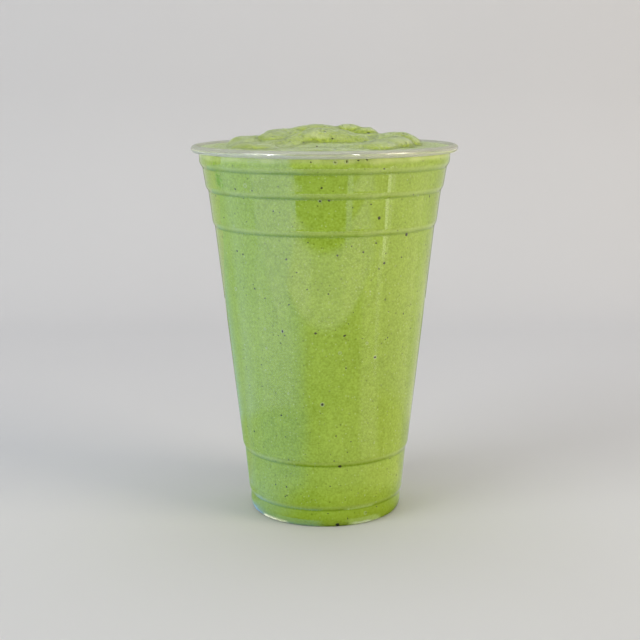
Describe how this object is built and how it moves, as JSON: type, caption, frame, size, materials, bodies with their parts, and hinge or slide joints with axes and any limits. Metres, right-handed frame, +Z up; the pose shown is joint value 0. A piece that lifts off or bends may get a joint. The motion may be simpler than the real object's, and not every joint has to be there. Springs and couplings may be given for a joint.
{
  "type": "green smoothie",
  "caption": "Tapered clear cup with a rolled lip and stepped bands, filled to the brim with thick green smoothie that heaps above it in soft folds.",
  "frame": {"origin": "middle of the foot ring, on the surface that the cup stands on", "axes": "+Z up along the cup's axis, -Y towards the side that the picture shows, +X to its right"},
  "size_m": [0.098, 0.098, 0.1455],
  "materials": {
    "clear_plastic": "thin clear thermoformed sheet, glossy on both faces",
    "green_smoothie": "thick blended drink with a soft sheen, fine bubbles and dark flecks"
  },
  "bodies": {
    "root": {"cup": "clear_plastic", "smoothie": "green_smoothie"}
  },
  "joints": []
}
